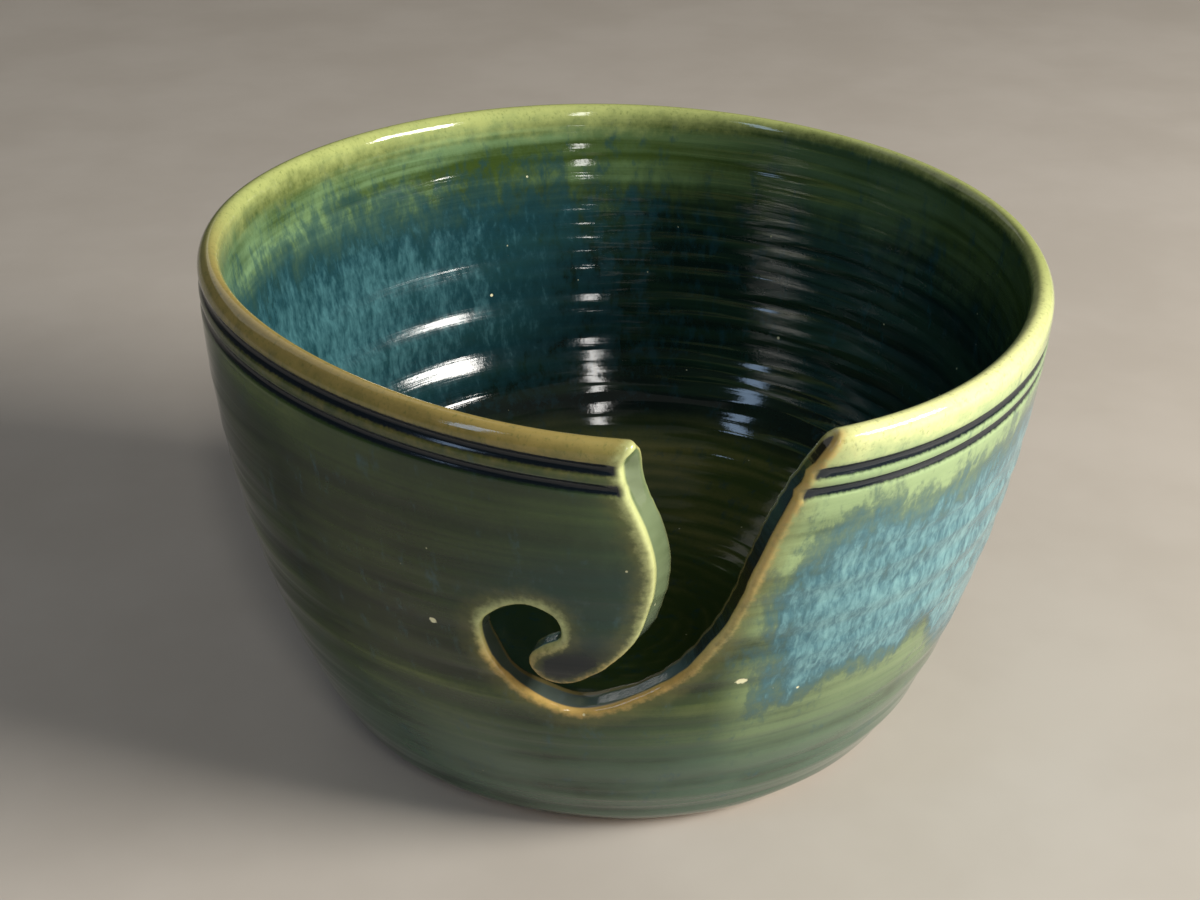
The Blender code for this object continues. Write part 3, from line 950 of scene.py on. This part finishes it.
# Each light's name, azimuth, elevation, size in metres, power and colour. The windows give the long highlights.
LIGHTS = [
    ("window", -18.0, 25.5, (0.50, 0.32), 22.5, (1.0, 0.96, 0.90)),
    ("narrow window", -80.0, 33.0, (0.07, 0.60), 2.4, (1.0, 0.98, 0.94)),
    ("sky", -145.0, 30.0, (0.14, 0.50), 1.3, (0.50, 0.70, 1.0)),
    ("ceiling", -40.0, 72.0, (1.40, 1.40), 0.8, WARM_WHITE),
    ("far fill", 130.0, 38.0, (0.90, 0.70), 1.1, WARM_WHITE),
]
ROOM_COLOUR = (0.70, 0.66, 0.60, 1.0)
ROOM_STRENGTH = 0.05
CAMERA_LENS = 55.5
CAMERA_PLACE = (-0.00395, -0.3132, 0.2129)
CAMERA_DOWN = 0.487  # radians below level

def make_floor():
    """A plain pale tabletop, with a soft grain."""
    mesh = bpy.data.meshes.new("table")
    corners = [(x * TABLE_REACH, y * TABLE_REACH, 0) for x, y in ((-1, -1), (1, -1), (1, 1), (-1, 1))]
    mesh.from_pydata(corners, [], [(0, 1, 2, 3)])
    table = bpy.data.objects.new("table", mesh)
    bpy.context.scene.collection.objects.link(table)
    material, wires, shader = new_material("pale table")
    place = wires.millimetres()
    cloud = wires.noise(wires.stretched(place, (60.0, 60.0, 60.0)), 4.0, 0.6)
    wires.plug(shader.inputs["Base Color"], wires.mix(wires.rise(cloud, 0.3, 0.7), TABLE_DARKER, TABLE_LIGHTER))
    shader.inputs["Roughness"].default_value = 0.6
    mesh.materials.append(material)


def make_light(name, azimuth, elevation, size, power, colour):
    """A soft panel LIGHT_DISTANCE from the pot and aimed at it. Azimuth is from +X towards +Y, in degrees."""
    lamp = bpy.data.lights.new(name, "AREA")
    lamp.shape = "RECTANGLE"
    lamp.size, lamp.size_y = size
    lamp.energy = power
    lamp.color = colour
    across, up = math.radians(azimuth), math.radians(elevation)
    centre = Vector((0.0, 0.0, 0.05))
    towards = Vector((math.cos(up) * math.cos(across), math.cos(up) * math.sin(across), math.sin(up)))
    panel = bpy.data.objects.new(name, lamp)
    panel.location = centre + LIGHT_DISTANCE * towards
    panel.rotation_euler = towards.to_track_quat("Z", "Y").to_euler()
    bpy.context.scene.collection.objects.link(panel)


def make_room():
    make_floor()
    for light in LIGHTS:
        make_light(*light)
    world = bpy.data.worlds.new("room")
    world.use_nodes = True
    background = world.node_tree.nodes["Background"]
    background.inputs["Color"].default_value = ROOM_COLOUR
    background.inputs["Strength"].default_value = ROOM_STRENGTH
    bpy.context.scene.world = world
    bpy.context.scene.view_settings.view_transform = "Standard"
    camera = bpy.data.cameras.new("camera")
    camera.lens = CAMERA_LENS
    view = bpy.data.objects.new("camera", camera)
    view.location = CAMERA_PLACE
    view.rotation_euler = (math.pi / 2 - CAMERA_DOWN, 0.0, 0.0)
    bpy.context.scene.collection.objects.link(view)
    bpy.context.scene.camera = view


# ---- the pot on the table ----

finishes = Finishes()
glaze = make_glaze()
glaze.data.materials.append(glaze_material(finishes))
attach(glaze, "root")
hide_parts("glaze_coat")

clay = make_clay()
clay.data.materials.append(clay_material(finishes))
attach(clay, "root")
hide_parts("clay_body")

make_room()
